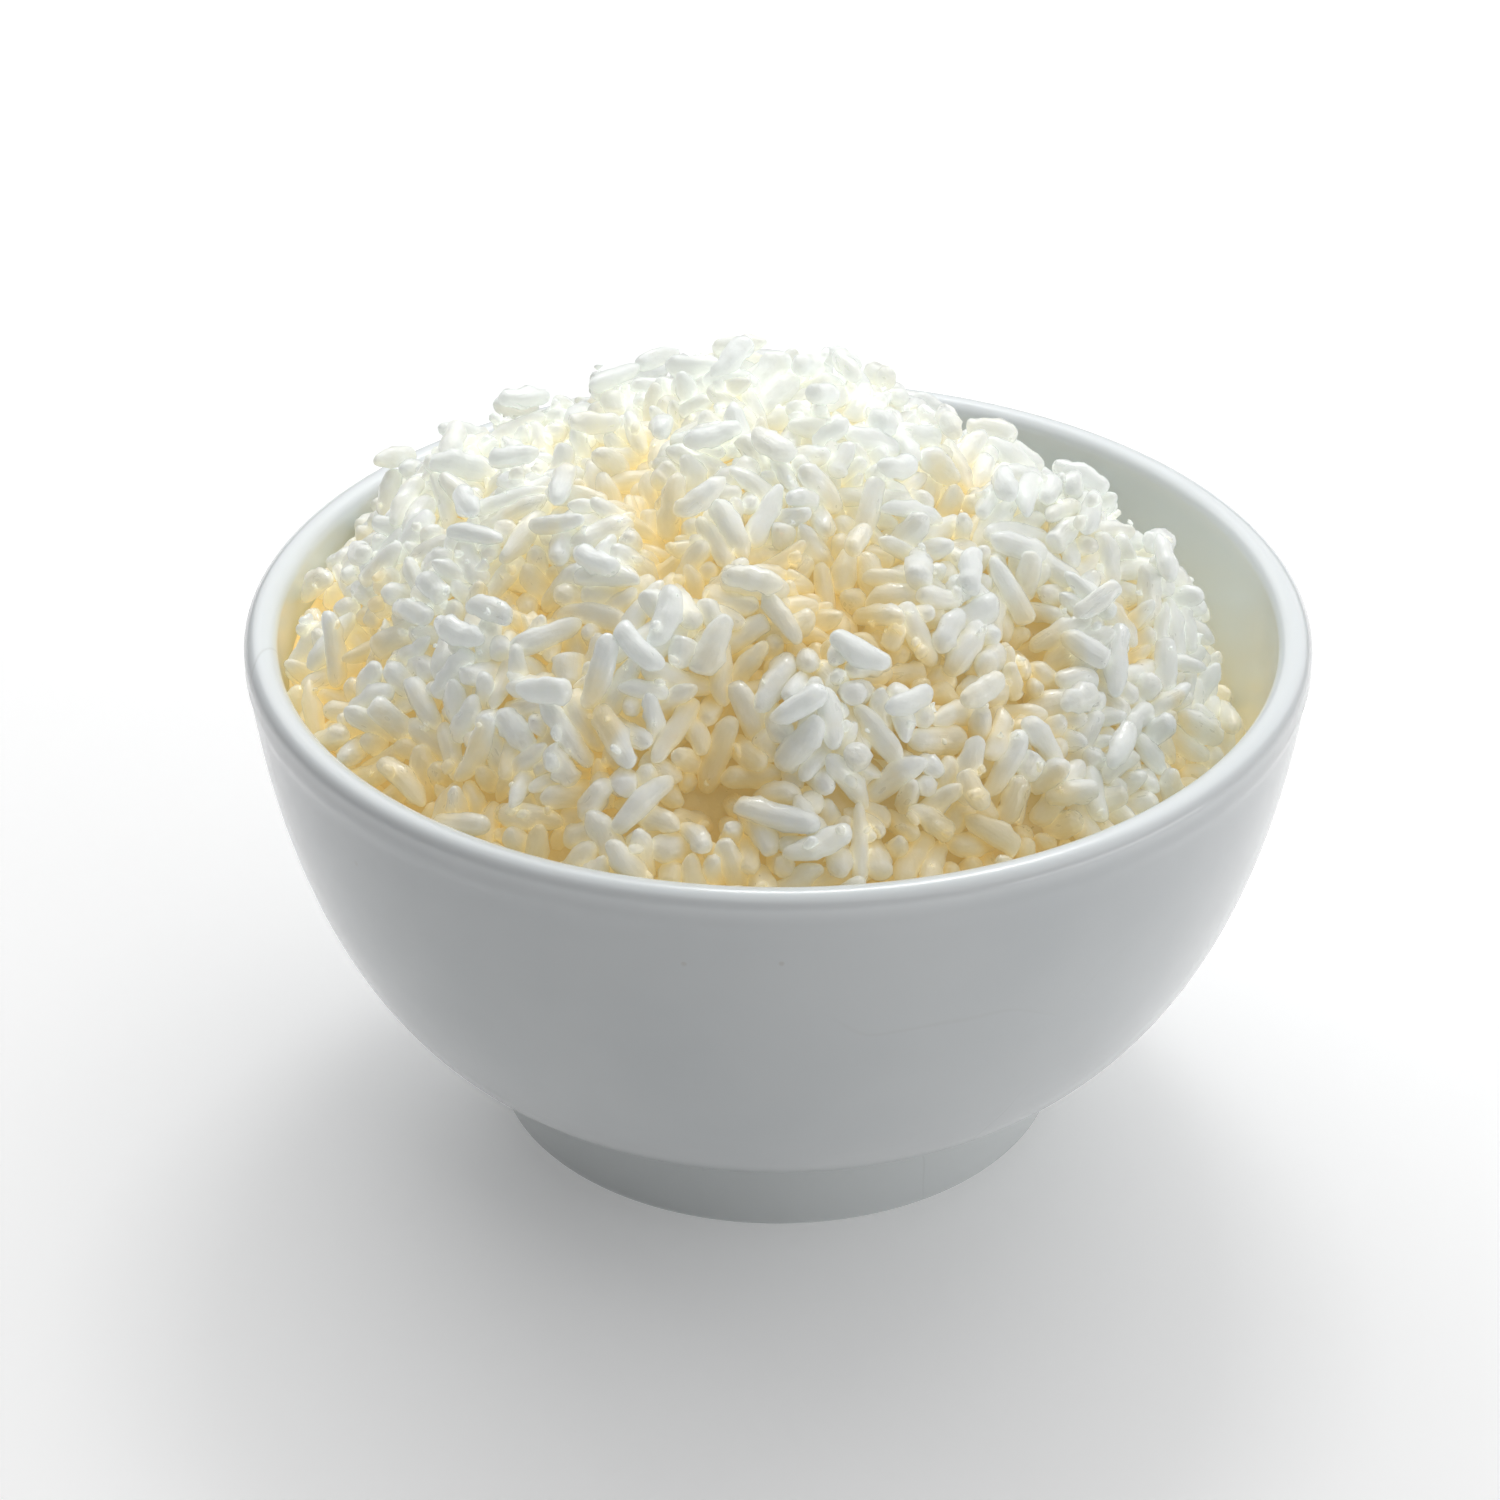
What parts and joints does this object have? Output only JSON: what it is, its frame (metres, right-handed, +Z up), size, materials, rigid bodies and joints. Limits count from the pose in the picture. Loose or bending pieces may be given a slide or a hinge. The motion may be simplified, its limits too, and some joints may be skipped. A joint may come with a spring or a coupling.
{
  "type": "bowl of cooked rice",
  "caption": "Round glazed bowl on a foot ring, heaped above its lip with cooked white rice; stands on a table as served food.",
  "frame": {"origin": "middle of the foot ring, on the surface that the bowl stands on", "axes": "+Z up along the axis that the bowl was turned on, +X to the right, +Y to the back"},
  "size_m": [0.13, 0.13, 0.0992],
  "materials": {
    "glaze": "clear glossy glaze over white porcelain, with fine hairline marks",
    "rice": "cooked white rice, moist and slightly translucent"
  },
  "bodies": {
    "root": {"bowl": "glaze", "rice_heap": "rice", "grain_01": "rice", "grain_02": "rice", "grain_03": "rice", "grain_04": "rice", "grain_05": "rice", "grain_06": "rice", "grain_07": "rice", "grain_08": "rice", "grain_09": "rice", "grain_10": "rice", "grain_11": "rice", "grain_12": "rice", "grain_13": "rice", "grain_14": "rice", "grain_15": "rice", "grain_16": "rice", "grain_17": "rice", "grain_18": "rice", "grain_19": "rice", "grain_20": "rice", "grain_21": "rice", "grain_22": "rice", "grain_23": "rice", "grain_24": "rice", "grain_25": "rice", "grain_26": "rice", "grain_27": "rice", "grain_28": "rice", "grain_29": "rice", "grain_30": "rice", "grain_31": "rice", "grain_32": "rice", "grain_33": "rice", "grain_34": "rice", "grain_35": "rice", "grain_36": "rice", "grain_37": "rice", "grain_38": "rice", "grain_39": "rice", "grain_40": "rice", "grain_41": "rice", "grain_42": "rice", "grain_43": "rice", "grain_44": "rice"}
  },
  "joints": []
}
